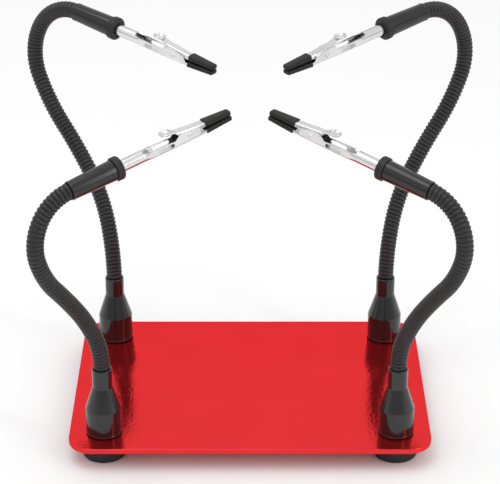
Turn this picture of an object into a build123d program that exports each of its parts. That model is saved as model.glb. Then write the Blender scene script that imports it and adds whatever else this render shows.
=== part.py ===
from build123d import *
import os
from math import cos, radians, sin, sqrt

# Helping hands clamp. Millimetres, +Z up, -Y towards the user.
# The origin is on the table, under the middle of the whole object seen from above.

# How far a cutting shape runs past the face that it cuts, and half the size of a block that
# only serves to be trimmed.
PAST = 1.0
REACH = 20.0

# ---- plate, feet and bolts ----
PLATE_WIDTH = 190.0
PLATE_DEPTH = 140.0
PLATE_THICK = 3.0
PLATE_CORNER = 13.0
PLATE_EDGE = 0.5
PLATE_CENTRE_Y = -2.0

FOOT_RADIUS = 11.75
FOOT_HEIGHT = 10.0
FOOT_ROUND = 1.6
FOOT_RECESS_RADIUS = 7.0
FOOT_RECESS_DEPTH = 6.0

BOLT_RADIUS = 3.0
BOLT_HOLE_RADIUS = 3.25
BOLT_HEAD_RADIUS = 5.0
BOLT_HEAD_HEIGHT = 3.2
BOLT_KEY_RADIUS = 2.0
BOLT_KEY_DEPTH = 1.8
BOLT_IN_SOCKET = 11.0
WASHER_RADIUS = 6.0
WASHER_THICK = 1.0

# ---- sockets, one near each corner, each free to turn on its bolt ----
SOCKET_X = 76.7
SOCKET_Y = 52.0
SOCKET_GAP = 0.1
SOCKET_RADIUS = 9.5
SOCKET_CHAMFER = 0.8
SOCKET_BASE_HEIGHT = 15.0
SOCKET_CONE_TOP = 27.6
SOCKET_NECK_RADIUS = 5.4
SOCKET_HEIGHT = 38.2
SOCKET_SEAT_DEPTH = 10.0
TURN_CLEARANCE = 0.05

# ---- gooseneck: six equal arcs, in four lengths that hinge on ball-and-cup ends ----
NECK_RADIUS = 4.4
FRONT_ARC = 21.7
REAR_ARC = 30.7
BALL_RADIUS = 4.0
CUP_CLEARANCE = 0.3
CUP_LIP = 2.0
SHOULDER = 0.7
NECK_IN_SLEEVE = 17.0
TRIM_RADIUS = 7.0

# Each arc's bend and the way it bends, in degrees. Way 0 is away from the plate's centre
# where the arm leaves its socket, and the frame then follows the arm without twisting.
FRONT_BENDS = [(24.5, 9), (13, 28), (4, 2), (24, 196), (46, 187), (49, 176)]
REAR_BENDS = [(19.5, 335), (17, 18), (6, 39), (15.5, 183), (52, 181), (69, 175)]
ARCS_PER_LENGTH = (1, 2, 2, 1)
SPLAY = 34.0

# ---- end sleeve, swivel collar and stud ----
SLEEVE_LENGTH = 25.0
SLEEVE_REAR_RADIUS = 4.95
SLEEVE_FRONT_RADIUS = 5.35
SLEEVE_WALL = 4.0
SLEEVE_CAVITY_RADIUS = 3.8
SLEEVE_CHAMFER = 0.3
COLLAR_GAP = 0.1
COLLAR_LENGTH = 4.2
COLLAR_RADIUS = 6.15
COLLAR_ROUND = 0.5
STUD_RADIUS = 2.6
STUD_HEAD_RADIUS = 3.4
STUD_HEAD_LENGTH = 2.0
STUD_IN_BARREL = 8.0

# ---- alligator clip: X runs from the collar's front face to the tip, Z towards the thumb pad ----
SHEET = 0.55
BARREL_RADIUS = STUD_RADIUS + SHEET
BARREL_LENGTH = 12.5
TOP_GAP_START = 14.0
TOP_GAP_WIDTH = 4.0
FLARE_CORNER = 0.6
FLARE_INNER_CORNER = 0.3
CHANNEL_START = 18.0
LOWER_HALF_WIDTH = 3.2
UPPER_HALF_WIDTH = 2.5
TAPER_START = 45.5
LOWER_TIP_HALF_WIDTH = 1.8
UPPER_TIP_HALF_WIDTH = 1.6
JAW_LENGTH = 63.5
PLAN_END = 68.5
JAW_TAIL = 0.5
PIVOT_X = 39.5
PIVOT_Z = 0.6
MOUTH_Z = 0.3
TIP_GAP = 0.3
TIP_RUBBER = 0.7
TIP_SLEEVE_START = 49.3
TIP_SLEEVE_END = 64.9
TIP_SLEEVE_ROUND = 0.8 * TIP_RUBBER

PIN_RADIUS = 0.8
PIN_HEAD_RADIUS = 1.3
PIN_HEAD_LENGTH = 0.4
SPRING_WIRE_RADIUS = 0.3
SPRING_RADIUS = 1.5
SPRING_PITCH = 0.75
SPRING_HEIGHT = 2.6
SPRING_LEG = 6.0

PAD_X = 27.5
PAD_Z = 6.7
PAD_RADIUS = 3.4
PAD_DISH = 9.0
PAD_NECK_HALF_WIDTH = 2.2
PAD_NECK_OUTLINE = [(33.7, 4.76), (30.5, 6.68), (29.9, 6.15), (33.1, 4.25)]

# Side outlines of the two jaws, seen along Y, as (x, z).
METAL_MOUTH_LOW = MOUTH_Z - TIP_GAP / 2 - TIP_RUBBER
METAL_MOUTH_HIGH = MOUTH_Z + TIP_GAP / 2 + TIP_RUBBER
LOWER_OUTLINE = [
    (CHANNEL_START - JAW_TAIL, -2.35), (30.5, -2.45), (TIP_SLEEVE_START, -2.2), (JAW_LENGTH, -1.7),
    (JAW_LENGTH, METAL_MOUTH_LOW), (TIP_SLEEVE_START - 1.5, METAL_MOUTH_LOW), (46.0, 2.1),
    (38.5, 3.7), (35.3, 3.9), (33.5, 3.2), (31.0, 1.1), (CHANNEL_START - JAW_TAIL, 1.7),
]
UPPER_OUTLINE = [
    (32.5, 4.9), (TIP_SLEEVE_START, 3.2), (JAW_LENGTH, 2.3), (JAW_LENGTH, METAL_MOUTH_HIGH),
    (TIP_SLEEVE_START - 2.0, METAL_MOUTH_HIGH), (43.5, -0.8), (38.0, -1.0), (35.5, 0.4), (33.0, 3.4),
]
WINDOW_CENTRE = (25.2, -0.5)
WINDOW_LENGTH = 9.4
WINDOW_HEIGHT = 2.4


def turned(vector, axis_direction, degrees):
    """The vector turned about a direction, by the right-hand rule."""
    return vector.rotate(Axis((0, 0, 0), axis_direction), degrees)


def bend_way(plane, way):
    """The direction square to the tube that lies `way` degrees round from the plane's X."""
    return plane.x_dir * cos(radians(way)) + plane.y_dir * sin(radians(way))


def plane_after_bend(plane, arc, bend, way):
    """The plane at the far end of one arc of the gooseneck."""
    towards = bend_way(plane, way)
    axis = plane.z_dir.cross(towards)
    radius = arc / radians(bend)
    rise = plane.z_dir * radius * sin(radians(bend))
    sway = towards * radius * (1 - cos(radians(bend)))
    return Plane(
        origin=plane.origin + rise + sway,
        x_dir=turned(plane.x_dir, axis, bend),
        z_dir=turned(plane.z_dir, axis, bend),
    )


def moved_along(plane, distance):
    """The same plane, further along its own normal."""
    return Plane(origin=plane.origin + plane.z_dir * distance, x_dir=plane.x_dir, z_dir=plane.z_dir)


def rod(plane, radius, start, end):
    """A cylinder square to the plane, between two heights above it."""
    foot = moved_along(plane, start)
    return foot * Cylinder(radius, end - start, align=(Align.CENTER, Align.CENTER, Align.MIN))


def turned_solid(plane, outline):
    """A lathe-turned solid about the plane's normal, from (radius, height) points."""
    face = make_face(Polyline(*[(r, 0, z) for r, z in outline], close=True))
    return plane * revolve(face, Axis.Z)


# ---- plate group ----
def socket_places():
    """Arm names with the signs of X and Y of the corner that each stands on."""
    return {
        "front_left": (-1, -1),
        "front_right": (1, -1),
        "rear_left": (-1, 1),
        "rear_right": (1, 1),
    }


def corner_plane(sign_x, sign_y, height):
    """A plane on a socket's axis, with its X pointing away from the plate's centre."""
    outward = Vector(sign_x * cos(radians(SPLAY)), sign_y * sin(radians(SPLAY)), 0)
    origin = (sign_x * SOCKET_X, PLATE_CENTRE_Y + sign_y * SOCKET_Y, height)
    return Plane(origin=origin, x_dir=outward, z_dir=(0, 0, 1))


def corner_planes(height):
    return [corner_plane(*signs, height) for signs in socket_places().values()]


def base_plate():
    blank = extrude(RectangleRounded(PLATE_WIDTH, PLATE_DEPTH, PLATE_CORNER), PLATE_THICK)
    blank = fillet(blank.edges().group_by(Axis.Z)[0] + blank.edges().group_by(Axis.Z)[-1], PLATE_EDGE)
    plate = Pos(0, PLATE_CENTRE_Y, FOOT_HEIGHT) * blank
    for plane in corner_planes(FOOT_HEIGHT):
        plate -= rod(plane, BOLT_HOLE_RADIUS, -PAST, PLATE_THICK + PAST)
    return plate


def rubber_foot(plane):
    foot = rod(Plane.XY, FOOT_RADIUS, 0, FOOT_HEIGHT)
    foot = fillet(foot.edges().group_by(Axis.Z)[0], FOOT_ROUND)
    foot -= rod(Plane.XY, FOOT_RECESS_RADIUS, -PAST, FOOT_RECESS_DEPTH)
    foot -= rod(Plane.XY, BOLT_HOLE_RADIUS, 0, FOOT_HEIGHT + PAST)
    return plane * foot


def foot_washer(plane):
    bottom = FOOT_RECESS_DEPTH - WASHER_THICK
    return rod(plane, WASHER_RADIUS, bottom, FOOT_RECESS_DEPTH) - rod(plane, BOLT_HOLE_RADIUS, 0, FOOT_HEIGHT)


def base_bolt(plane):
    seat = FOOT_RECESS_DEPTH - WASHER_THICK
    head_bottom = seat - BOLT_HEAD_HEIGHT
    tip = FOOT_HEIGHT + PLATE_THICK + SOCKET_GAP + BOLT_IN_SOCKET
    bolt = rod(plane, BOLT_HEAD_RADIUS, head_bottom, seat) + rod(plane, BOLT_RADIUS, seat, tip)
    key = extrude(RegularPolygon(BOLT_KEY_RADIUS, 6), BOLT_KEY_DEPTH)
    return bolt - moved_along(plane, head_bottom) * key


# ---- arms ----
def socket(foot_plane):
    """A bottle-shaped holder with a hole for the bolt below and a seat for the gooseneck above."""
    outline = [
        (0, 0), (SOCKET_RADIUS - SOCKET_CHAMFER, 0), (SOCKET_RADIUS, SOCKET_CHAMFER),
        (SOCKET_RADIUS, SOCKET_BASE_HEIGHT), (SOCKET_NECK_RADIUS, SOCKET_CONE_TOP),
        (SOCKET_NECK_RADIUS, SOCKET_HEIGHT), (0, SOCKET_HEIGHT),
    ]
    body = turned_solid(foot_plane, outline)
    body -= rod(foot_plane, BOLT_RADIUS + TURN_CLEARANCE, -PAST, BOLT_IN_SOCKET + PAST)
    body -= rod(foot_plane, NECK_RADIUS, SOCKET_HEIGHT - SOCKET_SEAT_DEPTH, SOCKET_HEIGHT + PAST)
    return body


def neck_arc(plane, arc, bend, way):
    """One arc of the gooseneck, swung about its centre of bending."""
    towards = bend_way(plane, way)
    centre = plane.origin + towards * (arc / radians(bend))
    section = plane * Circle(NECK_RADIUS)
    return revolve(section, Axis(centre, plane.z_dir.cross(towards)), bend)


def arm_planes(foot_plane, bends):
    """The planes at the start of the gooseneck and at the end of each of its arcs."""
    planes = [moved_along(foot_plane, SOCKET_HEIGHT)]
    for bend in bends:
        planes.append(plane_after_bend(planes[-1], *bend))
    return planes


def gooseneck_lengths(planes, bends):
    """The four lengths of one gooseneck, with a ball at the lower end and a cup at the upper."""
    lengths = []
    first = 0
    for number, arcs in enumerate(ARCS_PER_LENGTH):
        last = first + arcs
        piece = neck_arc(planes[first], *bends[first])
        for step in range(first + 1, last):
            piece += neck_arc(planes[step], *bends[step])
        if number == 0:
            piece += rod(planes[0], NECK_RADIUS, -SOCKET_SEAT_DEPTH, 0)
        else:
            piece -= rod(planes[first], TRIM_RADIUS, -PAST, SHOULDER)
            piece += Pos(*planes[first].origin) * Sphere(BALL_RADIUS)
        if number == 3:
            piece += rod(planes[last], NECK_RADIUS, 0, NECK_IN_SLEEVE)
        else:
            piece -= rod(planes[last], TRIM_RADIUS, -CUP_LIP, PAST)
            piece -= Pos(*planes[last].origin) * Sphere(BALL_RADIUS + CUP_CLEARANCE)
        lengths.append(piece)
        first = last
    return lengths


def end_sleeve(plane):
    outline = [
        (0, 0), (SLEEVE_REAR_RADIUS - SLEEVE_CHAMFER, 0), (SLEEVE_REAR_RADIUS, SLEEVE_CHAMFER),
        (SLEEVE_FRONT_RADIUS, SLEEVE_LENGTH), (0, SLEEVE_LENGTH),
    ]
    sleeve = turned_solid(plane, outline)
    wall = SLEEVE_LENGTH - SLEEVE_WALL
    sleeve -= rod(plane, NECK_RADIUS, -PAST, NECK_IN_SLEEVE)
    sleeve -= rod(plane, SLEEVE_CAVITY_RADIUS, 0, wall)
    sleeve -= rod(plane, STUD_RADIUS + TURN_CLEARANCE, 0, SLEEVE_LENGTH + PAST)
    return sleeve


def swivel_collar(plane):
    start = SLEEVE_LENGTH + COLLAR_GAP
    ring = rod(Plane.XY, COLLAR_RADIUS, start, start + COLLAR_LENGTH)
    ring = fillet(ring.edges().filter_by(GeomType.CIRCLE), COLLAR_ROUND)
    return plane * (ring - rod(Plane.XY, STUD_RADIUS, 0, start + COLLAR_LENGTH + PAST))


def clip_stud(plane):
    """A headed stud: the clip's barrel is pressed on it, and it turns in the sleeve's end wall."""
    wall = SLEEVE_LENGTH - SLEEVE_WALL
    head_end = wall - COLLAR_GAP
    tip = SLEEVE_LENGTH + COLLAR_GAP + COLLAR_LENGTH + STUD_IN_BARREL
    head = rod(plane, STUD_HEAD_RADIUS, head_end - STUD_HEAD_LENGTH, head_end)
    return head + rod(plane, STUD_RADIUS, head_end, tip)


# ---- the clip, in its own frame, at the origin ----
def side_profile(outline, half_width):
    """A side outline pushed out to a half width each way along Y."""
    face = make_face(Polyline(*[(x, 0, z) for x, z in outline], close=True))
    return extrude(face, half_width, dir=(0, 1, 0), both=True)


def jaw_plan(half_width, tip_half_width, low, high):
    """A jaw's outline seen from above, as a block between two heights."""
    outline = [
        (0, -half_width), (TAPER_START, -half_width), (PLAN_END, -tip_half_width),
        (PLAN_END, tip_half_width), (TAPER_START, half_width), (0, half_width),
    ]
    return Pos(0, 0, low) * extrude(make_face(Polyline(*outline, close=True)), high - low)


def shifted(outline, distance):
    """The outline moved up or down."""
    return [(x, z + distance) for x, z in outline]


def jaw_envelope(outline, half_width, tip_half_width):
    """The whole space that a jaw takes up, its hollow included."""
    return side_profile(outline, half_width) & jaw_plan(half_width, tip_half_width, -REACH, REACH)


def channel(outline, half_width, tip_half_width, web_side):
    """A U-shaped sheet jaw. Its web is below for web_side -1 and above for web_side 1."""
    inside = side_profile(shifted(outline, -web_side * SHEET), half_width)
    inside &= jaw_plan(half_width - SHEET, tip_half_width - SHEET, -REACH, REACH)
    return jaw_envelope(outline, half_width, tip_half_width) - inside


def clip_section_plane(x, z):
    """A plane across the clip, with its X along the clip's Y."""
    return Plane(origin=(x, 0, z), x_dir=(0, 1, 0), z_dir=(1, 0, 0))


def barrel_and_flare():
    """The rolled barrel and the flare that opens from it into the channel."""
    start = clip_section_plane(0, 0)
    low, high = LOWER_OUTLINE[0][1], LOWER_OUTLINE[-1][1]
    mouth = clip_section_plane(CHANNEL_START, (low + high) / 2)
    ring = clip_section_plane(BARREL_LENGTH, 0)
    outer = loft([
        ring * Circle(BARREL_RADIUS),
        mouth * RectangleRounded(2 * LOWER_HALF_WIDTH, high - low, FLARE_CORNER),
    ])
    inner = loft([
        ring * Circle(STUD_RADIUS),
        mouth * RectangleRounded(
            2 * (LOWER_HALF_WIDTH - SHEET), high - low - 2 * SHEET, FLARE_INNER_CORNER
        ),
    ])
    top_gap = Pos(TOP_GAP_START, 0, 0) * Box(
        CHANNEL_START, TOP_GAP_WIDTH, REACH, align=(Align.MIN, Align.CENTER, Align.MIN)
    )
    barrel = rod(start, BARREL_RADIUS, 0, BARREL_LENGTH)
    barrel -= rod(start, STUD_RADIUS, -PAST, BARREL_LENGTH + PAST)
    return barrel + (outer - inner - top_gap)


def pivot_rod(radius, half_length):
    """A rod on the clip's hinge line, centred across the clip."""
    plane = Plane(origin=(PIVOT_X, 0, PIVOT_Z), x_dir=(1, 0, 0), z_dir=(0, 1, 0))
    return rod(plane, radius, -half_length, half_length)


def clip_lower_jaw():
    jaw = channel(LOWER_OUTLINE, LOWER_HALF_WIDTH, LOWER_TIP_HALF_WIDTH, -1)
    window_plane = Plane(origin=(WINDOW_CENTRE[0], 0, WINDOW_CENTRE[1]), x_dir=(1, 0, 0), z_dir=(0, -1, 0))
    window = extrude(window_plane * SlotOverall(WINDOW_LENGTH, WINDOW_HEIGHT), REACH, both=True)
    return barrel_and_flare() + (jaw - window) - pivot_rod(PIN_RADIUS, REACH)


def thumb_pad():
    """A round dished pad on a short neck that rises from the upper jaw's web."""
    dish_centre = PAD_Z + sqrt(PAD_DISH**2 - PAD_RADIUS**2)
    shell = Pos(PAD_X, 0, dish_centre) * (Sphere(PAD_DISH + SHEET) - Sphere(PAD_DISH))
    pad = shell & rod(Plane(origin=(PAD_X, 0, 0)), PAD_RADIUS, 0, PAD_Z)
    neck = side_profile(PAD_NECK_OUTLINE, PAD_NECK_HALF_WIDTH)
    return pad + neck


def clip_upper_jaw():
    jaw = channel(UPPER_OUTLINE, UPPER_HALF_WIDTH, UPPER_TIP_HALF_WIDTH, 1)
    return jaw + thumb_pad() - pivot_rod(PIN_RADIUS + TURN_CLEARANCE, REACH)


def clip_pin():
    """A rivet with a low head outside each side of the lower jaw."""
    middle = pivot_rod(PIN_RADIUS, LOWER_HALF_WIDTH)
    heads = pivot_rod(PIN_HEAD_RADIUS, LOWER_HALF_WIDTH + PIN_HEAD_LENGTH)
    return middle + (heads - pivot_rod(PIN_HEAD_RADIUS + PAST, LOWER_HALF_WIDTH))


def clip_spring():
    """A left-hand torsion coil round the rivet, with both legs reaching back towards the tail."""
    plane = Plane(origin=(PIVOT_X, -SPRING_HEIGHT / 2, PIVOT_Z), x_dir=(0, 0, -1), z_dir=(0, 1, 0))
    path = plane * Helix(SPRING_PITCH, SPRING_HEIGHT, SPRING_RADIUS, lefthand=True)
    coil = sweep(Plane(origin=path @ 0, z_dir=path % 0) * Circle(SPRING_WIRE_RADIUS), path, is_frenet=True)
    for point in (path @ 0, path @ 1):
        coil += rod(Plane(origin=point, z_dir=(-1, 0, 0)), SPRING_WIRE_RADIUS, 0, SPRING_LEG)
    return coil


def tip_sleeve(outline, half_width, tip_half_width, low, high):
    """A rubber sleeve round the front of a jaw. low and high are its heights at start and end."""
    block = side_profile([
        (TIP_SLEEVE_START, low[0]), (TIP_SLEEVE_END, low[1]),
        (TIP_SLEEVE_END, high[1]), (TIP_SLEEVE_START, high[0]),
    ], REACH)
    block &= jaw_plan(half_width + TIP_RUBBER, tip_half_width + TIP_RUBBER, -REACH, REACH)
    block = fillet(block.edges().filter_by(lambda edge: abs(edge.tangent_at(0).X) > 0.9), TIP_SLEEVE_ROUND)
    return block - jaw_envelope(outline, half_width, tip_half_width)


def lower_tip_sleeve():
    top = MOUTH_Z - TIP_GAP / 2
    low = [LOWER_OUTLINE[2][1] - TIP_RUBBER, LOWER_OUTLINE[3][1] - TIP_RUBBER]
    return tip_sleeve(LOWER_OUTLINE, LOWER_HALF_WIDTH, LOWER_TIP_HALF_WIDTH, low, [top, top])


def upper_tip_sleeve():
    bottom = MOUTH_Z + TIP_GAP / 2
    high = [UPPER_OUTLINE[1][1] + TIP_RUBBER, UPPER_OUTLINE[2][1] + TIP_RUBBER]
    return tip_sleeve(UPPER_OUTLINE, UPPER_HALF_WIDTH, UPPER_TIP_HALF_WIDTH, [bottom, bottom], high)


def clip_pieces():
    """The clip's pieces by name, in the clip's own frame."""
    return {
        "clip_lower_jaw": clip_lower_jaw(),
        "clip_upper_jaw": clip_upper_jaw(),
        "clip_pin": clip_pin(),
        "clip_spring": clip_spring(),
        "lower_tip_sleeve": lower_tip_sleeve(),
        "upper_tip_sleeve": upper_tip_sleeve(),
    }


# ---- the whole object ----
def arm_bends(sign_x, sign_y):
    """A corner's arcs, as (length, bend, way). The right-hand arms mirror the left-hand ones."""
    arc, bends = (FRONT_ARC, FRONT_BENDS) if sign_y < 0 else (REAR_ARC, REAR_BENDS)
    return [(arc, bend, way if sign_x < 0 else 360 - way) for bend, way in bends]


def clip_plane(end_plane):
    """The clip's own frame: X straight on from the gooseneck, Z as near upright as that allows."""
    along = end_plane.z_dir
    up = (Vector(0, 0, 1) - along * along.Z).normalized()
    front = SLEEVE_LENGTH + COLLAR_GAP + COLLAR_LENGTH
    return Plane(origin=end_plane.origin + along * front, x_dir=along, z_dir=up)


def arm(sign_x, sign_y, clip):
    """All the pieces of one arm by name, where they stand."""
    foot_plane = corner_plane(sign_x, sign_y, FOOT_HEIGHT + PLATE_THICK + SOCKET_GAP)
    bends = arm_bends(sign_x, sign_y)
    planes = arm_planes(foot_plane, bends)
    pieces = {"socket": socket(foot_plane)}
    for number, length in enumerate(gooseneck_lengths(planes, bends), start=1):
        pieces[f"gooseneck_{number}"] = length
    pieces["end_sleeve"] = end_sleeve(planes[-1])
    pieces["swivel_collar"] = swivel_collar(planes[-1])
    pieces["clip_stud"] = clip_stud(planes[-1])
    for name, piece in clip.items():
        pieces[name] = clip_plane(planes[-1]) * piece
    return pieces


def all_pieces():
    """Every piece of the object by name."""
    pieces = {
        "base_plate": base_plate(),
        "rubber_feet": Compound([rubber_foot(plane) for plane in corner_planes(0)]),
        "foot_washers": Compound([foot_washer(plane) for plane in corner_planes(0)]),
        "base_bolts": Compound([base_bolt(plane) for plane in corner_planes(0)]),
    }
    clip = clip_pieces()
    for place, signs in socket_places().items():
        for name, piece in arm(*signs, clip).items():
            pieces[f"{place}_{name}"] = piece
    return pieces


def main():
    os.makedirs("parts", exist_ok=True)
    for name, piece in all_pieces().items():
        export_step(piece, f"parts/{name}.step")


if __name__ == "__main__":
    main()
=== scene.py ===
from math import cos, pi, radians, sin

import bmesh
import bpy
from mathutils import Matrix, Vector


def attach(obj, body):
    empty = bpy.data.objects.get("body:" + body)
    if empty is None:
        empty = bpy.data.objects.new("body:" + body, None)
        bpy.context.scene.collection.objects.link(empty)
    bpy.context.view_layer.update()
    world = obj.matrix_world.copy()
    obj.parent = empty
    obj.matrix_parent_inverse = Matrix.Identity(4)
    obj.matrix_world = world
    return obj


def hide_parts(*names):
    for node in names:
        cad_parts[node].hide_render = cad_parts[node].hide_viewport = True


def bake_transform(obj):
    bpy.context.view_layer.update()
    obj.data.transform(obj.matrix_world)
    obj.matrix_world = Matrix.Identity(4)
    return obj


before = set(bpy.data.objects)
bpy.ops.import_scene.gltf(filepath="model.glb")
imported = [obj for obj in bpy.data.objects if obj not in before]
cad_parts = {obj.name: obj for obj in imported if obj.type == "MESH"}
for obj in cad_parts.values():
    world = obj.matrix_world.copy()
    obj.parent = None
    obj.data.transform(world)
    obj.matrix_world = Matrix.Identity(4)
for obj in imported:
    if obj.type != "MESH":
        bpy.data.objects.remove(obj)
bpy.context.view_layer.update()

MM = 0.001

# ---- the part's own driving sizes, in millimetres ----
PLATE_WIDTH, PLATE_DEPTH, PLATE_THICK = 190.0, 140.0, 3.0
PLATE_CORNER, PLATE_EDGE, PLATE_CENTRE_Y = 13.0, 0.5, -2.0
FOOT_RADIUS, FOOT_HEIGHT, FOOT_ROUND = 11.75, 10.0, 1.6
FOOT_RECESS_RADIUS, FOOT_RECESS_DEPTH, BOLT_HOLE_RADIUS = 7.0, 6.0, 3.25
SOCKET_X, SOCKET_Y, SOCKET_GAP = 76.7, 52.0, 0.1
SOCKET_RADIUS, SOCKET_CHAMFER, SOCKET_BASE_HEIGHT = 9.5, 0.8, 15.0
SOCKET_CONE_TOP, SOCKET_NECK_RADIUS, SOCKET_HEIGHT = 27.6, 5.4, 38.2
NECK_RADIUS, FRONT_ARC, REAR_ARC, SPLAY = 4.4, 21.7, 30.7, 34.0
FRONT_BENDS = [(24.5, 9), (13, 28), (4, 2), (24, 196), (46, 187), (49, 176)]
REAR_BENDS = [(19.5, 335), (17, 18), (6, 39), (15.5, 183), (52, 181), (69, 175)]
SLEEVE_LENGTH, SLEEVE_REAR_RADIUS, SLEEVE_FRONT_RADIUS = 25.0, 4.95, 5.35
COLLAR_GAP, COLLAR_LENGTH, COLLAR_RADIUS = 0.1, 4.2, 6.15
STUD_RADIUS, SHEET = 2.6, 0.55
BARREL_LENGTH, CHANNEL_START = 12.5, 18.0
JAW_LENGTH, TAPER_START, PLAN_END = 63.5, 45.5, 68.5
LOWER_HALF_WIDTH, LOWER_TIP_HALF_WIDTH = 3.2, 1.8
UPPER_HALF_WIDTH, UPPER_TIP_HALF_WIDTH = 2.5, 1.6
PIVOT = (39.5, 0.6)
MOUTH_Z, TIP_GAP, TIP_RUBBER = 0.3, 0.3, 0.7
TIP_SLEEVE_START, TIP_SLEEVE_END = 49.3, 64.9
PIN_HEAD_RADIUS, PIN_HEAD_LENGTH, PIN_SHANK_RADIUS = 1.3, 0.4, 0.8
PAD_X, PAD_Z, PAD_RADIUS = 27.5, 6.7, 3.4
WINDOW_CENTRE, WINDOW_LENGTH, WINDOW_HEIGHT = (25.2, -0.5), 9.4, 2.4

PLACES = {"front_left": (-1, -1), "front_right": (1, -1), "rear_left": (-1, 1), "rear_right": (1, 1)}


# ---- camera, floor and light; places and sizes in metres ----
CAMERA_LENS, CAMERA_TILT = 140.4, 64
CAMERA_PLACE = (0, -0.9327, 0.5524)
SKY_STOPS = ((0.0, 0.9), (0.03, 0.48), (0.2, 0.62), (0.36, 1.0), (1.0, 0.95))
SKY_STRENGTH = 0.93
FLOOR_SIZE = 12


def add_camera():
    data = bpy.data.cameras.new("camera")
    data.sensor_width = 36
    data.lens = CAMERA_LENS
    data.clip_end = 20
    camera = bpy.data.objects.new("camera", data)
    camera.location = CAMERA_PLACE
    camera.rotation_euler = (radians(CAMERA_TILT), 0, 0)
    bpy.context.scene.collection.objects.link(camera)
    bpy.context.scene.camera = camera


def add_area_light(name, place, target, size, watts):
    data = bpy.data.lights.new(name, "AREA")
    data.shape = "RECTANGLE"
    data.size, data.size_y = size
    data.energy = watts
    light = bpy.data.objects.new(name, data)
    light.location = place
    light.rotation_euler = (Vector(target) - Vector(place)).to_track_quat("-Z", "Y").to_euler()
    bpy.context.scene.collection.objects.link(light)


def add_studio():
    """A pale floor, an even sky with a darker band at the horizon, and two soft boxes."""
    world = bpy.data.worlds.new("studio")
    world.use_nodes = True
    nodes, links = world.node_tree.nodes, world.node_tree.links
    place = nodes.new("ShaderNodeTexCoord")
    split = nodes.new("ShaderNodeSeparateXYZ")
    ramp = nodes.new("ShaderNodeValToRGB")
    while len(ramp.color_ramp.elements) < len(SKY_STOPS):
        ramp.color_ramp.elements.new(0.5)
    for element, (height, value) in zip(ramp.color_ramp.elements, SKY_STOPS):
        element.position = height
        element.color = (value, value, value, 1)
    links.new(place.outputs["Generated"], split.inputs[0])
    links.new(split.outputs["Z"], ramp.inputs["Fac"])
    links.new(ramp.outputs["Color"], nodes["Background"].inputs["Color"])
    nodes["Background"].inputs["Strength"].default_value = SKY_STRENGTH
    bpy.context.scene.world = world
    bpy.context.scene.view_settings.view_transform = "Standard"
    bpy.ops.mesh.primitive_plane_add(size=FLOOR_SIZE)
    floor = bpy.context.object
    floor.name = "floor"
    floor.data.materials.append(plain_floor())
    add_area_light("overhead", (-0.25, -0.1, 1.3), (0, 0, 0.1), (0.9, 0.6), 3.6)
    add_area_light("side", (1.0, -0.7, 0.7), (0, 0, 0.12), (0.16, 0.9), 2.4)


# ---- materials ----
COAT_ROUGHNESS, LEAST_ROUGHNESS = 0.06, 0.02
# how many times coarser the slow noise is than the grain, and where its two tints end
SLOW_SCALE, TINT_ENDS = 12, (0.35, 0.65)


def plain_floor():
    material = bpy.data.materials.new("floor_white")
    material.use_nodes = True
    shader = material.node_tree.nodes["Principled BSDF"]
    shader.inputs["Base Color"].default_value = (0.94, 0.94, 0.94, 1)
    shader.inputs["Roughness"].default_value = 0.9
    shader.inputs["Specular IOR Level"].default_value = 0.0
    return material


def surface(name, colour, roughness, metallic=0.0, coat=0.0, grain=900.0, bump=0.15, height=0.00004,
            mottle=0.12, spread=0.08, stretch=(1, 1, 1), specular=0.5, edge_tint=(1, 1, 1)):
    """A procedural finish: fine grain in the bump, and slow changes of colour and roughness."""
    material = bpy.data.materials.new(name)
    material.use_nodes = True
    nodes, links = material.node_tree.nodes, material.node_tree.links
    shader = nodes["Principled BSDF"]
    shader.inputs["Metallic"].default_value = metallic
    shader.inputs["Coat Weight"].default_value = coat
    shader.inputs["Coat Roughness"].default_value = COAT_ROUGHNESS
    shader.inputs["Specular IOR Level"].default_value = specular
    shader.inputs["Specular Tint"].default_value = (*edge_tint, 1)
    place = nodes.new("ShaderNodeTexCoord")
    mapping = nodes.new("ShaderNodeMapping")
    mapping.inputs["Scale"].default_value = stretch
    links.new(place.outputs["Object"], mapping.inputs["Vector"])

    fine = nodes.new("ShaderNodeTexNoise")
    fine.inputs["Scale"].default_value = grain
    fine.inputs["Detail"].default_value = 4
    links.new(mapping.outputs["Vector"], fine.inputs["Vector"])
    slow = nodes.new("ShaderNodeTexNoise")
    slow.inputs["Scale"].default_value = grain / SLOW_SCALE
    slow.inputs["Detail"].default_value = 6
    links.new(mapping.outputs["Vector"], slow.inputs["Vector"])

    tint = nodes.new("ShaderNodeValToRGB")
    for element, share in zip(tint.color_ramp.elements, (1 - mottle, 1 + mottle)):
        element.color = (*(min(1.0, channel * share) for channel in colour), 1)
    for number, end in enumerate(TINT_ENDS):
        tint.color_ramp.elements[number].position = end
    links.new(slow.outputs["Fac"], tint.inputs["Fac"])
    links.new(tint.outputs["Color"], shader.inputs["Base Color"])

    gloss = nodes.new("ShaderNodeMapRange")
    gloss.inputs["To Min"].default_value = max(LEAST_ROUGHNESS, roughness - spread)
    gloss.inputs["To Max"].default_value = roughness + spread
    links.new(slow.outputs["Fac"], gloss.inputs["Value"])
    links.new(gloss.outputs["Result"], shader.inputs["Roughness"])

    relief = nodes.new("ShaderNodeBump")
    relief.inputs["Strength"].default_value = bump
    relief.inputs["Distance"].default_value = height
    links.new(fine.outputs["Fac"], relief.inputs["Height"])
    links.new(relief.outputs["Normal"], shader.inputs["Normal"])
    return material


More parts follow.
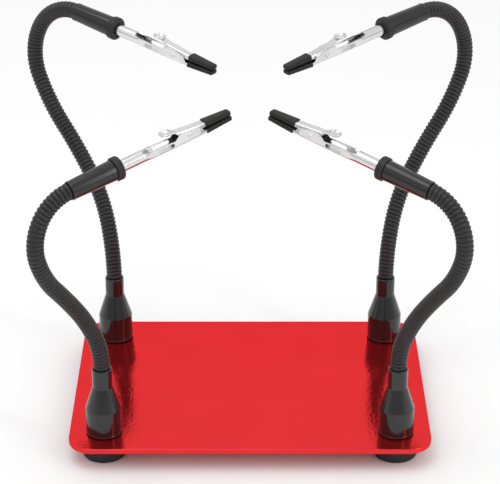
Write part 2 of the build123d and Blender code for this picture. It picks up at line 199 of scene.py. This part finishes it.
def make_materials():
    return {
        "plate_red": surface("plate_red", (0.82, 0.036, 0.040), 0.07, metallic=0.9, grain=620, bump=0.5,
                             height=0.00016, mottle=0.02, spread=0.03, edge_tint=(1.0, 0.42, 0.44)),
        "foot_rubber": surface("foot_rubber", (0.018, 0.016, 0.016), 0.6, bump=0.4, specular=0.35),
        "zinc_steel": surface("zinc_steel", (0.58, 0.58, 0.56), 0.32, metallic=1.0, mottle=0.08),
        "socket_black": surface("socket_black", (0.010, 0.010, 0.010), 0.16, coat=0.2, grain=600, bump=0.1),
        "gooseneck_black": surface("gooseneck_black", (0.014, 0.014, 0.015), 0.38, bump=0.35, mottle=0.25,
                                   specular=0.45),
        "sleeve_black": surface("sleeve_black", (0.009, 0.009, 0.0095), 0.2, coat=0.12, grain=700, bump=0.1,
                                specular=0.45),
        "collar_black": surface("collar_black", (0.013, 0.013, 0.0135), 0.5, grain=1600, bump=0.5,
                                specular=0.4),
        "clip_steel": surface("clip_steel", (0.72, 0.72, 0.725), 0.17, metallic=1.0, grain=500, bump=0.25,
                              mottle=0.09, stretch=(1, 1, 0.4)),
        "spring_steel": surface("spring_steel", (0.42, 0.42, 0.44), 0.3, metallic=1.0, mottle=0.1),
        "tip_rubber": surface("tip_rubber", (0.010, 0.009, 0.0085), 0.5, grain=1200, bump=0.6, mottle=0.25,
                              specular=0.35),
    }


# ---- mesh helpers; every mesh is worked out in millimetres and placed in metres ----
def add_piece(name, mesh_data, plane, slot, body, nodes, sharp=32.0):
    """A finished piece from a bmesh, set on a plane, riding a body and standing for CAD nodes."""
    mesh = bpy.data.meshes.new(name)
    bmesh.ops.recalc_face_normals(mesh_data, faces=mesh_data.faces)
    mesh_data.to_mesh(mesh)
    mesh_data.free()
    mesh.transform(Matrix.Scale(MM, 4) @ plane)
    mesh.shade_smooth()
    mesh.set_sharp_from_angle(angle=radians(sharp))
    piece = bpy.data.objects.new(name, mesh)
    bpy.context.scene.collection.objects.link(piece)
    piece.data.materials.append(MATERIALS[slot])
    if body:
        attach(piece, body)
    if nodes:
        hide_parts(*nodes)
    return piece


def skin(mesh_data, rings, closed_round=True, closed_along=False, caps=True):
    """Quads between rings of points. A ring is closed round, and its run may join up with itself."""
    rows = [[mesh_data.verts.new(point) for point in ring] for ring in rings]
    last = len(rows) if closed_along else len(rows) - 1
    count = len(rows[0])
    around = count if closed_round else count - 1
    for i in range(last):
        a, b = rows[i], rows[(i + 1) % len(rows)]
        for j in range(around):
            k = (j + 1) % count
            mesh_data.faces.new((a[j], a[k], b[k], b[j]))
    if caps and not closed_along:
        mesh_data.faces.new(rows[0])
        mesh_data.faces.new(rows[-1])
    return rows


def rounded(outline, radius, steps=4):
    """The outline with each inner corner cut to a small arc. Ends stay as they are."""
    points = [Vector(outline[0])]
    for before, here, after in zip(outline, outline[1:], outline[2:]):
        before, here, after = Vector(before), Vector(here), Vector(after)
        reach = min(radius, 0.45 * (before - here).length, 0.45 * (after - here).length)
        start = here + (before - here).normalized() * reach
        end = here + (after - here).normalized() * reach
        for step in range(steps + 1):
            t = step / steps
            points.append(start * (1 - t) ** 2 + here * 2 * t * (1 - t) + end * t**2)
    return points + [Vector(outline[-1])]


def lathe(outline, radius=0.3, sides=72):
    """A turned solid from (radius, height) points. Its first and last points lie on the axis or meet."""
    mesh_data = bmesh.new()
    profile = rounded(outline, radius)
    rings = []
    for side in range(sides):
        angle = 2 * pi * side / sides
        rings.append([(p.x * cos(angle), p.x * sin(angle), p.y) for p in profile])
    skin(mesh_data, rings, closed_round=False, closed_along=True)
    bmesh.ops.remove_doubles(mesh_data, verts=mesh_data.verts, dist=1e-5)
    return mesh_data


# ---- the arms' own frames ----
def frame_matrix(origin, x_dir, z_dir):
    y_dir = z_dir.cross(x_dir)
    rotation = Matrix((x_dir, y_dir, z_dir)).transposed().to_4x4()
    return Matrix.Translation(origin) @ rotation


def axes_of(plane):
    return plane.translation, plane.col[0].xyz, plane.col[1].xyz, plane.col[2].xyz


def after_bend(plane, arc, bend, way):
    """The plane at the far end of one arc of the gooseneck."""
    origin, x_dir, y_dir, z_dir = axes_of(plane)
    towards = x_dir * cos(radians(way)) + y_dir * sin(radians(way))
    turn = Matrix.Rotation(radians(bend), 3, z_dir.cross(towards))
    radius = arc / radians(bend)
    end = origin + z_dir * radius * sin(radians(bend)) + towards * radius * (1 - cos(radians(bend)))
    return frame_matrix(end, turn @ x_dir, turn @ z_dir)


def along(plane, distance):
    return plane @ Matrix.Translation((0, 0, distance))


def corner_plane(sign_x, sign_y, height):
    outward = Vector((sign_x * cos(radians(SPLAY)), sign_y * sin(radians(SPLAY)), 0))
    origin = Vector((sign_x * SOCKET_X, PLATE_CENTRE_Y + sign_y * SOCKET_Y, height))
    return frame_matrix(origin, outward, Vector((0, 0, 1)))


def arm_bends(sign_x, sign_y):
    arc, bends = (FRONT_ARC, FRONT_BENDS) if sign_y < 0 else (REAR_ARC, REAR_BENDS)
    return [(arc, bend, way if sign_x < 0 else 360 - way) for bend, way in bends]


def arm_planes(foot_plane, bends):
    planes = [along(foot_plane, SOCKET_HEIGHT)]
    for bend in bends:
        planes.append(after_bend(planes[-1], *bend))
    return planes


def plane_at(planes, bends, place):
    """The plane at a place on the gooseneck, counted in arcs from the socket."""
    number = min(int(place), len(bends) - 1)
    share = place - number
    if share < 1e-6:
        return planes[number]
    arc, bend, way = bends[number]
    return after_bend(planes[number], arc * share, bend * share, way)


def clip_plane(end_plane):
    """The clip's frame: X straight on from the gooseneck, Z as near upright as that allows."""
    forward = end_plane.col[2].xyz
    up = (Vector((0, 0, 1)) - forward * forward.z).normalized()
    front = SLEEVE_LENGTH + COLLAR_GAP + COLLAR_LENGTH
    return frame_matrix(end_plane.translation + forward * front, forward, up)


# ---- plate and feet ----
def add_plate():
    """The plate, with a softly rounded edge all round, above and below."""
    half_x, half_y = PLATE_WIDTH / 2, PLATE_DEPTH / 2
    edge_steps, corner_steps = 5, 20
    levels = []
    for base, sign in ((PLATE_EDGE, -1), (PLATE_THICK - PLATE_EDGE, 1)):
        steps = range(edge_steps + 1) if sign > 0 else range(edge_steps, -1, -1)
        for step in steps:
            angle = radians(90 * step / edge_steps)
            levels.append((base + sign * PLATE_EDGE * sin(angle), PLATE_EDGE * (1 - cos(angle))))
    rings = []
    for height, inset in levels:
        radius = PLATE_CORNER - inset
        ring = []
        for corner, (sx, sy) in enumerate(((1, 1), (-1, 1), (-1, -1), (1, -1))):
            for step in range(corner_steps + 1):
                angle = radians(90 * (corner + step / corner_steps))
                x = sx * (half_x - PLATE_CORNER) + radius * cos(angle)
                y = sy * (half_y - PLATE_CORNER) + radius * sin(angle)
                ring.append((x, y, height))
        rings.append(ring)
    mesh_data = bmesh.new()
    skin(mesh_data, rings)
    plane = Matrix.Translation((0, PLATE_CENTRE_Y, FOOT_HEIGHT))
    add_piece("plate", mesh_data, plane, "plate_red", "root", ["base_plate"])


def add_feet():
    """Four moulded feet with a rounded lower edge and a recess below."""
    bulge = FOOT_ROUND * 0.3
    outline = [
        (FOOT_RECESS_RADIUS, FOOT_RECESS_DEPTH), (FOOT_RECESS_RADIUS, 0), (FOOT_RADIUS - FOOT_ROUND, 0),
        (FOOT_RADIUS - bulge, bulge), (FOOT_RADIUS, FOOT_ROUND), (FOOT_RADIUS, FOOT_HEIGHT),
        (BOLT_HOLE_RADIUS, FOOT_HEIGHT), (BOLT_HOLE_RADIUS, FOOT_RECESS_DEPTH),
        (FOOT_RECESS_RADIUS, FOOT_RECESS_DEPTH),
    ]
    for place, signs in PLACES.items():
        nodes = ["rubber_feet"] if place == "front_left" else []
        foot_plane = corner_plane(*signs, 0)
        add_piece(f"foot_{place}", lathe(outline, radius=0.25), foot_plane, "foot_rubber", "root", nodes)


# ---- the arm's turned pieces ----
def add_socket(place, foot_plane):
    """The holder, with a narrow raised foot ring that catches the light and a snug top rim."""
    ring_top, ring_slope, body_radius = 1.35, 0.16, SOCKET_RADIUS - 0.14
    neck_radius, rim_radius = SOCKET_NECK_RADIUS - 0.2, SOCKET_NECK_RADIUS - 0.45
    rim_drop, rim_inner, seat_depth = 0.5, NECK_RADIUS - RIB_DEPTH - 0.1, 5
    outline = [
        (0, 0), (SOCKET_RADIUS - SOCKET_CHAMFER, 0), (SOCKET_RADIUS, SOCKET_CHAMFER),
        (SOCKET_RADIUS, ring_top), (body_radius, ring_top + ring_slope),
        (body_radius, SOCKET_BASE_HEIGHT), (neck_radius, SOCKET_CONE_TOP),
        (neck_radius, SOCKET_HEIGHT - rim_drop), (rim_radius, SOCKET_HEIGHT),
        (rim_inner, SOCKET_HEIGHT), (rim_inner, SOCKET_HEIGHT - seat_depth), (0, SOCKET_HEIGHT - seat_depth),
    ]
    add_piece(f"{place}_socket_shell", lathe(outline, radius=0.35), foot_plane, "socket_black",
              f"{place}_socket", [f"{place}_socket"])


def add_sleeve_and_collar(place, end_plane):
    """The tapered grip sleeve with a small rear rim, and the ring with a shallow recess in its front."""
    rim, rim_step, rim_slope = 0.9, 0.12, 0.15
    seat_radius, seat_depth = NECK_RADIUS - 0.1, 4
    outline = [
        (0, seat_depth), (seat_radius, seat_depth), (seat_radius, 0), (SLEEVE_REAR_RADIUS, 0),
        (SLEEVE_REAR_RADIUS, rim), (SLEEVE_REAR_RADIUS - rim_step, rim + rim_slope),
        (SLEEVE_FRONT_RADIUS, SLEEVE_LENGTH), (0, SLEEVE_LENGTH),
    ]
    add_piece(f"{place}_grip_sleeve", lathe(outline), end_plane, "sleeve_black",
              f"{place}_neck_end", [f"{place}_end_sleeve"])
    start = SLEEVE_LENGTH + COLLAR_GAP
    end = start + COLLAR_LENGTH
    rear_inset, rear_slope = 0.35, 0.4
    front_round = ((0.0, 0.9), (0.5, 0.25), (1.0, 0.0))
    recess_rim, recess_floor, recess_depth = STUD_RADIUS + 1.4, STUD_RADIUS + 1.2, 0.5
    collar = [
        (STUD_RADIUS, start), (COLLAR_RADIUS - rear_inset, start), (COLLAR_RADIUS, start + rear_slope),
        *((COLLAR_RADIUS - inset, end - back) for inset, back in front_round),
        (recess_rim, end), (recess_floor, end - recess_depth),
        (STUD_RADIUS, end - recess_depth), (STUD_RADIUS, start),
    ]
    add_piece(f"{place}_collar_ring", lathe(collar, radius=0.25), end_plane, "collar_black",
              f"{place}_clip", [f"{place}_swivel_collar"])


# ---- ribbed gooseneck covers ----
RIB_PITCH = 2.18
RIB_DEPTH = 0.62
RIB_ROUNDNESS = 0.55
RIB_STEPS = 8
NECK_SIDES = 36
HIDDEN_END = 3.0
# each cover's first and last arc, the bodies below and above its hinge, and the nodes it stands for
COVERS = (
    (0, 2, "socket", "neck_2", ("gooseneck_1", "gooseneck_2")),
    (2, 4, "neck_2", "neck_3", ("gooseneck_3",)),
    (4, 6, "neck_3", "neck_end", ("gooseneck_4",)),
)


def rib_radius(phase):
    """The cover's radius through one rib: a full round crest and a narrow groove."""
    return NECK_RADIUS - RIB_DEPTH * (1 - sin(pi * phase) ** RIB_ROUNDNESS)


def add_cover(place, planes, bends, first, last, lower, upper, nodes):
    """Two arcs of ribbed cover, following the curve of both arcs through the hinge that lies half way along
    it.
    """
    ribs = round(2 * bends[0][0] / RIB_PITCH)
    steps = ribs * RIB_STEPS
    sections = []
    if first == 0:
        sections.append((along(planes[0], -HIDDEN_END), NECK_RADIUS - RIB_DEPTH))
    for step in range(steps + 1):
        section = plane_at(planes, bends, first + (last - first) * step / steps)
        sections.append((section, rib_radius(step % RIB_STEPS / RIB_STEPS)))
    if last == len(bends):
        sections.append((along(planes[-1], HIDDEN_END), NECK_RADIUS - RIB_DEPTH))
    rings = []
    for section, radius in sections:
        ring = []
        for side in range(NECK_SIDES):
            angle = 2 * pi * side / NECK_SIDES
            ring.append(section @ Vector((radius * cos(angle), radius * sin(angle), 0)))
        rings.append(ring)
    mesh_data = bmesh.new()
    skin(mesh_data, rings)
    name = f"{place}_neck_cover_{first // 2 + 1}"
    piece = add_piece(name, mesh_data, Matrix.Identity(4), "gooseneck_black", None,
                      [f"{place}_{node}" for node in nodes], sharp=60)
    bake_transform(piece)


# ---- the clip, worked out in its own frame ----
def between(table, x):
    """A value from (x, value) points joined by straight lines."""
    if x <= table[0][0]:
        return table[0][1]
    for (x0, v0), (x1, v1) in zip(table, table[1:]):
        if x <= x1:
            return v0 + (v1 - v0) * (x - x0) / (x1 - x0)
    return table[-1][1]


def eased(x, start, end):
    t = min(1.0, max(0.0, (x - start) / (end - start)))
    return t * t * (3 - 2 * t)


def half_width(x, wide, narrow):
    return between([(0, wide), (TAPER_START, wide), (PLAN_END, narrow)], x)


LOWER_MOUTH = MOUTH_Z - TIP_GAP / 2 - TIP_RUBBER
UPPER_MOUTH = MOUTH_Z + TIP_GAP / 2 + TIP_RUBBER
# heights along the clip, as (distance from the collar, height)
LOWER_BOTTOM = [(CHANNEL_START, -2.35), (30.5, -2.45), (TIP_SLEEVE_START, -2.2), (JAW_LENGTH, -1.7)]
LOWER_TOP = [
    (CHANNEL_START, 1.7), (31, 1.1), (33.5, 3.2), (35.3, 3.9), (38.5, 3.7), (46, 2.1),
    (TIP_SLEEVE_START - 1.5, LOWER_MOUTH), (JAW_LENGTH, LOWER_MOUTH),
]
UPPER_TOP = [(32.5, 4.9), (TIP_SLEEVE_START, 3.2), (JAW_LENGTH, 2.3)]
UPPER_BOTTOM = [
    (32.5, 4.2), (33, 3.4), (35.5, 0.4), (38, -1.0), (43.5, -0.8),
    (TIP_SLEEVE_START - 2, UPPER_MOUTH), (JAW_LENGTH, UPPER_MOUTH),
]
LOWER_RUBBER_BOTTOM = [(TIP_SLEEVE_START, -2.9), (JAW_LENGTH, -2.4), (TIP_SLEEVE_END, -2.35)]
UPPER_RUBBER_TOP = [(TIP_SLEEVE_START, 3.9), (JAW_LENGTH, 3.0), (TIP_SLEEVE_END, 2.95)]
LOWER_CORNER, UPPER_CORNER = 0.9, 0.8
WALL_STEPS, BEND_STEPS, WEB_STEPS = 6, 5, 4
SHEET_STEP, RUBBER_STEP = 0.6, 0.35
# half the barrel's seam and half its opening past the seam, in degrees, and the run between them
SEAM_ANGLE, OPEN_ANGLE, SEAM_STEP = 5, 48, 0.25
# the rubber tips: the share of the end left flat, the rounding of the corners, and the rounded run
RUBBER_END_SHARE, RUBBER_SQUARENESS, RUBBER_END_RUN = 0.25, 0.55, 1.1
# the thumb pad's underside, rim and dish, as (radius, height below the rim)
PAD_PROFILE = [
    (0, 1.25), (1.6, 1.05), (2.7, 0.55), (2.95, 0.1), (3.15, 0), (PAD_RADIUS, 0.12), (PAD_RADIUS - 0.1, 0.55),
    (2.9, 1.1), (1.6, 1.6), (0, 1.75),
]
# a rivet head's dish, rim and seat, as (radius, height above the clip's side)
RIVET_PROFILE = [
    (0, 0.18), (0.45, 0.2), (0.7, PIN_HEAD_LENGTH), (PIN_HEAD_RADIUS - 0.15, PIN_HEAD_LENGTH),
    (PIN_HEAD_RADIUS, 0.1), (PIN_HEAD_RADIUS, 0), (0, -0.3),
]
# the rubber's unevenness, as (depth, radians for each millimetre, phase)
RUBBER_WAVES = ((0.05, 2.3, 0), (0.035, 5.1, 1))
# the pad's neck, as (distance from the collar, height, half width)
PAD_NECK = [(29.8, 5.75, 2.1), (30.4, 5.72, 2.15), (31.5, 5.4, 2.25), (32.6, 4.97, 2.35), (33.8, 4.72, 2.4)]


def u_section(width, web, rim, corner):
    """Points of a U, from one rim down its wall, across the web and up the other wall."""
    sign = 1 if rim > web else -1
    corner = min(corner, 0.8 * abs(rim - web))
    turn = web + sign * corner
    half = [(-width, rim + (turn - rim) * i / WALL_STEPS) for i in range(WALL_STEPS)]
    for i in range(BEND_STEPS + 1):
        angle = radians(90 * i / BEND_STEPS)
        half.append((-width + corner * (1 - cos(angle)), turn - sign * corner * sin(angle)))
    middle = [((-width + corner) * (1 - 2 * i / WEB_STEPS), web) for i in range(1, WEB_STEPS)]
    return half + middle + [(-y, z) for y, z in reversed(half)]


def ring_section(radius, opening, count):
    """Points round a rolled tube from one side of its seam to the other, the seam being on top."""
    points = []
    for i in range(count):
        angle = radians(90 + opening) + radians(360 - 2 * opening) * i / (count - 1)
        points.append((radius * cos(angle), radius * sin(angle)))
    return points


def sheet_ring(x, section, thickness):
    """A closed ring of points: the section's outer line, then the same line inset by the sheet."""
    inner = []
    for i, (y, z) in enumerate(section):
        y0, z0 = section[max(0, i - 1)]
        y1, z1 = section[min(len(section) - 1, i + 1)]
        run = Vector((y1 - y0, z1 - z0)).normalized()
        inner.append((y - run.y * thickness, z + run.x * thickness))
    return [(x, y, z) for y, z in section] + [(x, y, z) for y, z in reversed(inner)]


def stations(start, end, step, extra=()):
    count = max(2, round((end - start) / step))
    places = {round(start + (end - start) * i / count, 4) for i in range(count + 1)}
    return sorted(places | {x for x in extra if start <= x <= end})


def cut_and_bevel(mesh_data, cutters, width=0.09):
    """The mesh with openings cut through it and its sheared edges broken."""
    def scratch(name, data):
        mesh = bpy.data.meshes.new(name)
        bmesh.ops.recalc_face_normals(data, faces=data.faces)
        data.to_mesh(mesh)
        data.free()
        holder = bpy.data.objects.new(name, mesh)
        bpy.context.scene.collection.objects.link(holder)
        return holder

    body = scratch("body", mesh_data)
    tools = [scratch("tool", cutter) for cutter in cutters]
    for tool in tools:
        cut = body.modifiers.new("cut", "BOOLEAN")
        cut.operation, cut.object, cut.solver = "DIFFERENCE", tool, "EXACT"
    bevel = body.modifiers.new("edge", "BEVEL")
    bevel.width, bevel.segments = width, 2
    bevel.limit_method, bevel.angle_limit = "ANGLE", radians(50)
    bpy.context.view_layer.update()
    result = bmesh.new()
    result.from_object(body, bpy.context.evaluated_depsgraph_get())
    for used in (body, *tools):
        bpy.data.objects.remove(used)
    return result


def oval_cutter(centre, length, height):
    """An oval prism that reaches past both walls of the clip."""
    data = bmesh.new()
    sides, reach, straight = 32, 8, (length - height) / 2
    outline = []
    for i in range(sides):
        angle = 2 * pi * i / sides
        shift = straight if cos(angle) >= 0 else -straight
        outline.append((centre[0] + shift + height / 2 * cos(angle), centre[1] + height / 2 * sin(angle)))
    skin(data, [[(x, y, z) for x, z in outline] for y in (-reach, reach)])
    return data


def lower_jaw():
    """Rolled barrel, flare and channel as one bent sheet, with an oval window in each wall."""
    count = 2 * (WALL_STEPS + BEND_STEPS + 1) + WEB_STEPS - 1
    barrel_radius = STUD_RADIUS + SHEET
    rings = []
    seam_end = BARREL_LENGTH + SEAM_STEP
    openings = [(0, SEAM_ANGLE), (BARREL_LENGTH, SEAM_ANGLE), (seam_end, OPEN_ANGLE), (PLAN_END, OPEN_ANGLE)]
    breaks = [x for x, _ in LOWER_TOP] + [BARREL_LENGTH, seam_end]
    for x in stations(0, JAW_LENGTH, SHEET_STEP, breaks):
        width = half_width(x, LOWER_HALF_WIDTH, LOWER_TIP_HALF_WIDTH)
        channel = u_section(width, between(LOWER_BOTTOM, x), between(LOWER_TOP, x), LOWER_CORNER)
        rolled = ring_section(barrel_radius, between(openings, x), count)
        share = eased(x, seam_end, CHANNEL_START)
        section = [(a * (1 - share) + c * share, b * (1 - share) + d * share)
                   for (a, b), (c, d) in zip(rolled, channel)]
        rings.append(sheet_ring(x, section, SHEET))
    data = bmesh.new()
    skin(data, rings)
    return cut_and_bevel(data, [oval_cutter(WINDOW_CENTRE, WINDOW_LENGTH, WINDOW_HEIGHT)])


def upper_jaw():
    """The inner jaw with its web on top, and the dished thumb pad on its curved neck."""
    rings = []
    for x in stations(UPPER_TOP[0][0], JAW_LENGTH, SHEET_STEP, [x for x, _ in UPPER_BOTTOM]):
        width = half_width(x, UPPER_HALF_WIDTH, UPPER_TIP_HALF_WIDTH)
        section = u_section(width, between(UPPER_TOP, x), between(UPPER_BOTTOM, x), UPPER_CORNER)
        rings.append(sheet_ring(x, section, -SHEET))
    data = bmesh.new()
    skin(data, rings)
    jaw = cut_and_bevel(data, [])
    add_thumb_pad(jaw)
    return jaw


def add_thumb_pad(jaw):
    """A round pad with a raised rim and a dish in it, and the neck that carries it."""
    pad = rounded([(radius, PAD_Z - drop) for radius, drop in PAD_PROFILE], radius=0.3)
    sides = 56
    rings = []
    for side in range(sides):
        angle = 2 * pi * side / sides
        rings.append([(PAD_X + p.x * cos(angle), p.x * sin(angle), p.y) for p in pad])
    skin(jaw, rings, closed_round=False, closed_along=True)
    crown = 0.04
    neck = []
    for x, z, width in PAD_NECK:
        section = [(-width, z - SHEET), (-width, z), (0, z + crown), (width, z), (width, z - SHEET)]
        neck.append([(x, y, height) for y, height in section])
    skin(jaw, neck)
    bmesh.ops.remove_doubles(jaw, verts=jaw.verts, dist=1e-5)


def rivet_head(sign):
    """One low dished head on the side of the clip."""
    data = lathe(RIVET_PROFILE, radius=0.12, sides=36)
    place = frame_matrix(Vector((PIVOT[0], sign * LOWER_HALF_WIDTH, PIVOT[1])), Vector((1, 0, 0)),
                         Vector((0, sign, 0)))
    bmesh.ops.transform(data, matrix=place, verts=data.verts)
    return data


def rivet():
    """Both heads and the shank between them."""
    data = rivet_head(1)
    other = rivet_head(-1)
    copy = bpy.data.meshes.new("rivet_part")
    other.to_mesh(copy)
    other.free()
    data.from_mesh(copy)
    bpy.data.meshes.remove(copy)
    sides = 24
    rings = []
    for y in (-LOWER_HALF_WIDTH, LOWER_HALF_WIDTH):
        ring = []
        for i in range(sides):
            angle = 2 * pi * i / sides
            x = PIVOT[0] + PIN_SHANK_RADIUS * cos(angle)
            ring.append((x, y, PIVOT[1] + PIN_SHANK_RADIUS * sin(angle)))
        rings.append(ring)
    skin(data, rings)
    return data


def tip_rubber(low, high, wide, narrow, outward):
    """A pulled-on rubber sleeve with soft corners and a rounded end, uneven except where the mouth closes."""
    count, side_inset, side_share, mouth_limit = 40, 0.05, 0.5, -0.3
    rings = []
    for x in stations(TIP_SLEEVE_START, TIP_SLEEVE_END, RUBBER_STEP):
        bottom, top = between(low, x), between(high, x)
        width = half_width(x, wide, narrow) + TIP_RUBBER
        close = min(1.0, max(0.0, (x - (TIP_SLEEVE_END - RUBBER_END_RUN)) / RUBBER_END_RUN))
        shrink = (1 - close**2) ** 0.5 * (1 - RUBBER_END_SHARE) + RUBBER_END_SHARE
        wobble = sum(depth * sin(x * rate + phase) for depth, rate, phase in RUBBER_WAVES)
        middle, rise = (bottom + top) / 2, (top - bottom) / 2
        ring = []
        for i in range(count):
            angle = 2 * pi * i / count
            c, s = cos(angle), sin(angle)
            y = abs(c) ** RUBBER_SQUARENESS * (1 if c > 0 else -1)
            z = abs(s) ** RUBBER_SQUARENESS * (1 if s > 0 else -1)
            free = wobble if z * outward > mouth_limit else 0.0
            height = middle + z * (rise * shrink + min(0.0, free))
            ring.append((x, y * (width * shrink - side_inset + free * side_share), height))
        rings.append(ring)
    data = bmesh.new()
    skin(data, rings)
    return data


def lower_rubber():
    top = [(0, MOUTH_Z - TIP_GAP / 2)]
    return tip_rubber(LOWER_RUBBER_BOTTOM, top, LOWER_HALF_WIDTH, LOWER_TIP_HALF_WIDTH, -1)


def upper_rubber():
    bottom = [(0, MOUTH_Z + TIP_GAP / 2)]
    return tip_rubber(bottom, UPPER_RUBBER_TOP, UPPER_HALF_WIDTH, UPPER_TIP_HALF_WIDTH, 1)


def add_clip(place, plane):
    """The clip's visible pieces on one arm."""
    pieces = (
        ("outer_jaw", lower_jaw, "clip_steel", "clip", "clip_lower_jaw"),
        ("inner_jaw", upper_jaw, "clip_steel", "thumb_jaw", "clip_upper_jaw"),
        ("rivet", rivet, "clip_steel", "clip", "clip_pin"),
        ("outer_rubber", lower_rubber, "tip_rubber", "clip", "lower_tip_sleeve"),
        ("inner_rubber", upper_rubber, "tip_rubber", "thumb_jaw", "upper_tip_sleeve"),
    )
    for name, shape, slot, body, node in pieces:
        add_piece(f"{place}_{name}", shape(), plane, slot, f"{place}_{body}", [f"{place}_{node}"])


def add_arm(place, signs):
    foot_plane = corner_plane(*signs, FOOT_HEIGHT + PLATE_THICK + SOCKET_GAP)
    bends = arm_bends(*signs)
    planes = arm_planes(foot_plane, bends)
    add_socket(place, foot_plane)
    for cover in COVERS:
        add_cover(place, planes, bends, *cover)
    add_sleeve_and_collar(place, planes[-1])
    add_clip(place, clip_plane(planes[-1]))


def dress_cad_nodes():
    """The CAD nodes that stay get their finish here."""
    slots = {"foot_washers": "zinc_steel", "base_bolts": "zinc_steel"}
    for place in PLACES:
        slots[f"{place}_clip_stud"] = "zinc_steel"
        slots[f"{place}_clip_spring"] = "spring_steel"
    for name, slot in slots.items():
        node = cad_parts[name]
        for holder in node.material_slots:
            holder.link = "OBJECT"
            holder.material = MATERIALS[slot]


add_camera()
MATERIALS = make_materials()
add_studio()
add_plate()
add_feet()
for arm_place, arm_signs in PLACES.items():
    add_arm(arm_place, arm_signs)
dress_cad_nodes()
